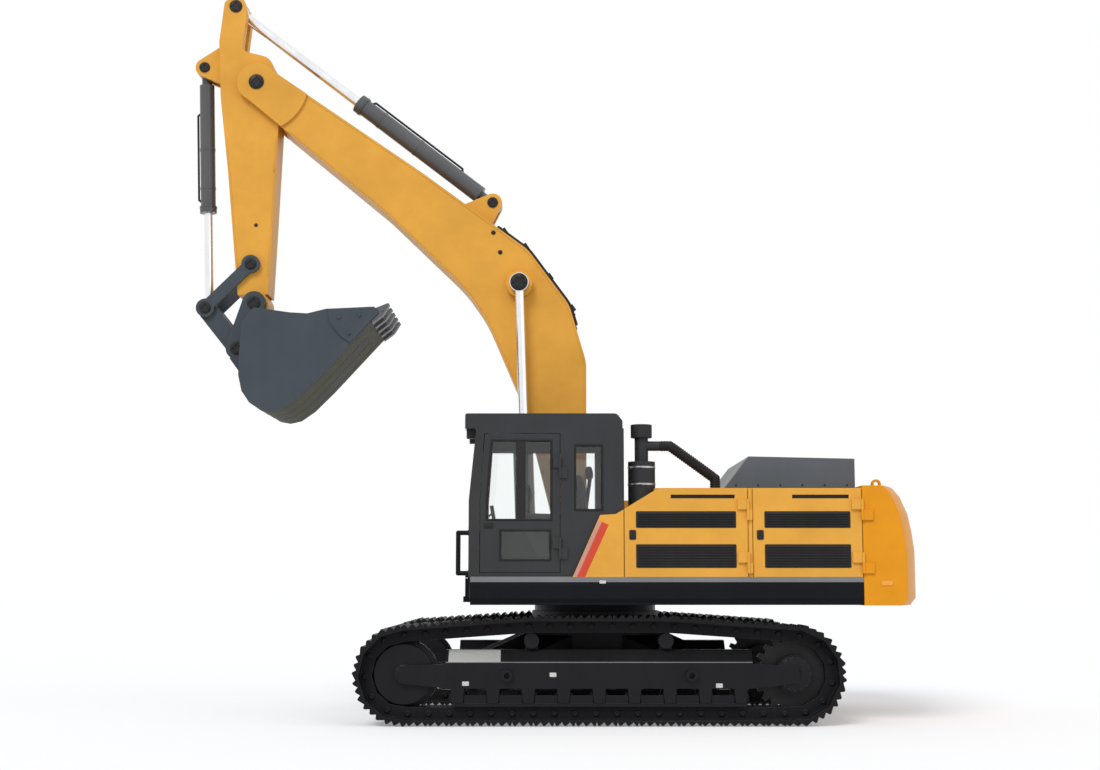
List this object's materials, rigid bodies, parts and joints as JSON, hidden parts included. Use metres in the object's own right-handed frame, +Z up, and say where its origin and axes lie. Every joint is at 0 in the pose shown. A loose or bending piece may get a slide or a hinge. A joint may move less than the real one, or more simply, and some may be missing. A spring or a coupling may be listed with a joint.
{
  "type": "crawler excavator",
  "caption": "Crawler excavator with a cab, a swinging upper body on tracks, and a boom, stick and bucket worked by hydraulic cylinders.",
  "frame": {"origin": "on the ground under the swing axis", "axes": "+X forward toward the bucket, +Y to the machine's left, +Z up"},
  "size_m": [8.2124, 3.19, 8.2823],
  "materials": {
    "yellow": "gloss paint",
    "counterweight_yellow": "gloss paint",
    "grey": "satin paint",
    "black": "worn satin paint",
    "blue_grey": "satin paint",
    "steel": "machined",
    "chrome": "hard chrome",
    "glass": "tinted",
    "plastic": "moulded",
    "chair": "woven cloth"
  },
  "bodies": {
    "undercarriage": {"car_body": "black", "swing_bearing": "steel", "track_frame_left": "black", "track_frame_right": "black", "track_left": "black", "track_right": "black", "sprockets": "steel", "final_drives": "black", "idlers": "black", "lower_rollers": "black", "carrier_rollers": "black", "lashing_eyes": "black", "tow_eyes": "black"},
    "upperstructure": {"revolving_frame": "grey", "counterweight": "counterweight_yellow", "lifting_eyes": "counterweight_yellow", "engine": "grey", "front_cover": "yellow", "housing_frame": "yellow", "fuel_tank": "yellow", "hydraulic_tank": "yellow", "tool_box": "grey", "air_cleaner": "plastic", "intake_duct": "plastic", "exhaust_pipe": "black", "handrails": "black", "cab_floor": "grey", "cab_left_wall": "grey", "cab_right_wall": "grey", "cab_rear_wall": "grey", "cab_front_frame": "grey", "cab_roof": "grey", "cab_glass": "glass", "operator_chair": "chair", "consoles": "plastic", "work_lamps": "plastic"},
    "front_side_door": {"left_door_front": "yellow"},
    "rear_side_door": {"left_door_rear": "yellow"},
    "pump_door": {"right_door": "yellow"},
    "hood": {"engine_hood": "grey"},
    "box_lid": {"tool_box_lid": "grey"},
    "door": {"cab_door": "grey", "door_glass": "glass"},
    "boom_arm": {"boom": "yellow", "boom_pipes": "black"},
    "lift_barrel_left": {"boom_barrel_left": "grey"},
    "lift_barrel_right": {"boom_barrel_right": "grey"},
    "lift_rod_left": {"boom_rod_left": "chrome"},
    "lift_rod_right": {"boom_rod_right": "chrome"},
    "crowd_barrel": {"arm_barrel": "grey"},
    "crowd_rod": {"arm_rod": "chrome"},
    "stick_arm": {"stick": "yellow"},
    "curl_barrel": {"bucket_barrel": "grey"},
    "curl_rod": {"bucket_rod": "chrome"},
    "rocker_pair": {"rockers": "blue_grey"},
    "link_arm": {"bucket_link": "blue_grey"},
    "bucket_body": {"bucket": "blue_grey", "bucket_teeth": "steel"}
  },
  "joints": [
    {"name": "swing", "type": "hinge", "parent": "undercarriage", "child": "upperstructure", "pos_m": [0, 0, 1.14], "axis": [0, 0, 1], "continuous": true},
    {"name": "boom_lift", "type": "hinge", "parent": "upperstructure", "child": "boom_arm", "pos_m": [0.26, 0, 2], "axis": [0, -1, 0], "range_deg": [-100, 6]},
    {"name": "stick_crowd", "type": "hinge", "parent": "boom_arm", "child": "stick_arm", "pos_m": [3.9194, 0, 7.2262], "axis": [0, 1, 0], "range_deg": [-115, 2]},
    {"name": "bucket_curl", "type": "hinge", "parent": "stick_arm", "child": "bucket_body", "pos_m": [3.8922, 0, 4.6263], "axis": [0, 1, 0], "range_deg": [-115, 30]},
    {"name": "lift_barrel_left_swing", "type": "hinge", "parent": "upperstructure", "child": "lift_barrel_left", "pos_m": [0.745, 0.4, 1.45], "axis": [0, -1, 0], "range_deg": [-104.19, 6.72]},
    {"name": "lift_barrel_right_swing", "type": "hinge", "parent": "upperstructure", "child": "lift_barrel_right", "pos_m": [0.745, -0.4, 1.45], "axis": [0, -1, 0], "range_deg": [-104.19, 6.72]},
    {"name": "lift_rod_left_slide", "type": "slide", "parent": "lift_barrel_left", "child": "lift_rod_left", "axis": [0.0336, 0, 0.9994], "range_m": [-1.148, 0.0736]},
    {"name": "lift_rod_right_slide", "type": "slide", "parent": "lift_barrel_right", "child": "lift_rod_right", "axis": [0.0336, 0, 0.9994], "range_m": [-1.148, 0.0736]},
    {"name": "crowd_barrel_swing", "type": "hinge", "parent": "boom_arm", "child": "crowd_barrel", "pos_m": [1.1734, 0, 5.8295], "axis": [0, 1, 0], "range_deg": [-0.55, 3.16]},
    {"name": "crowd_rod_slide", "type": "slide", "parent": "crowd_barrel", "child": "crowd_rod", "axis": [0.7912, 0, 0.6116], "range_m": [-1.6838, 0.0342]},
    {"name": "curl_barrel_swing", "type": "hinge", "parent": "stick_arm", "child": "curl_barrel", "pos_m": [4.5596, 0, 7.4504], "axis": [0, 1, 0], "range_deg": [-0.91, 2.08]},
    {"name": "curl_rod_slide", "type": "slide", "parent": "curl_barrel", "child": "curl_rod", "axis": [-0.0369, 0, -0.9993], "range_m": [-1.0537, 0.2786]},
    {"name": "rocker_swing", "type": "hinge", "parent": "stick_arm", "child": "rocker_pair", "pos_m": [3.944, 0, 5.0808], "axis": [0, 1, 0], "range_deg": [-93.66, 24.8]},
    {"name": "link_swing", "type": "hinge", "parent": "bucket_body", "child": "link_arm", "pos_m": [4.0748, 0, 4.0991], "axis": [0, 1, 0], "range_deg": [-24.58, 92.8]},
    {"name": "cab_door_hinge", "type": "hinge", "parent": "upperstructure", "child": "door", "pos_m": [0.402, 1.4924, 2.313], "axis": [0, 0, 1], "range_deg": [0, 160]},
    {"name": "front_side_door_hinge", "type": "hinge", "parent": "upperstructure", "child": "front_side_door", "pos_m": [-1.561, 1.5264, 2], "axis": [0, 0, 1], "range_deg": [0, 100]},
    {"name": "rear_side_door_hinge", "type": "hinge", "parent": "upperstructure", "child": "rear_side_door", "pos_m": [-2.756, 1.5264, 2], "axis": [0, 0, 1], "range_deg": [0, 100]},
    {"name": "pump_door_hinge", "type": "hinge", "parent": "upperstructure", "child": "pump_door", "pos_m": [-2.756, -1.5264, 2], "axis": [0, 0, -1], "range_deg": [0, 100]},
    {"name": "hood_hinge", "type": "hinge", "parent": "upperstructure", "child": "hood", "pos_m": [-2.8107, 0, 2.4891], "axis": [0, -1, 0], "range_deg": [0, 60]},
    {"name": "box_lid_hinge", "type": "hinge", "parent": "upperstructure", "child": "box_lid", "pos_m": [0.86746, -0.975, 1.5154], "axis": [0, -1, 0], "range_deg": [0, 85]}
  ],
  "couplings": [
    {"joint": "lift_barrel_left_swing", "follows": "boom_lift", "ratio": 1.0165},
    {"joint": "lift_barrel_right_swing", "follows": "boom_lift", "ratio": 1.0165},
    {"joint": "lift_rod_left_slide", "follows": "boom_lift", "m_per_rad": 0.64208},
    {"joint": "lift_rod_right_slide", "follows": "boom_lift", "m_per_rad": 0.64208},
    {"joint": "crowd_barrel_swing", "follows": "stick_crowd", "ratio": -0.02264},
    {"joint": "crowd_rod_slide", "follows": "stick_crowd", "m_per_rad": 0.82},
    {"joint": "curl_barrel_swing", "follows": "bucket_curl", "ratio": -0.013463},
    {"joint": "curl_rod_slide", "follows": "bucket_curl", "m_per_rad": 0.51224},
    {"joint": "rocker_swing", "follows": "bucket_curl", "ratio": 0.79422},
    {"joint": "link_swing", "follows": "bucket_curl", "ratio": -0.78691}
  ]
}
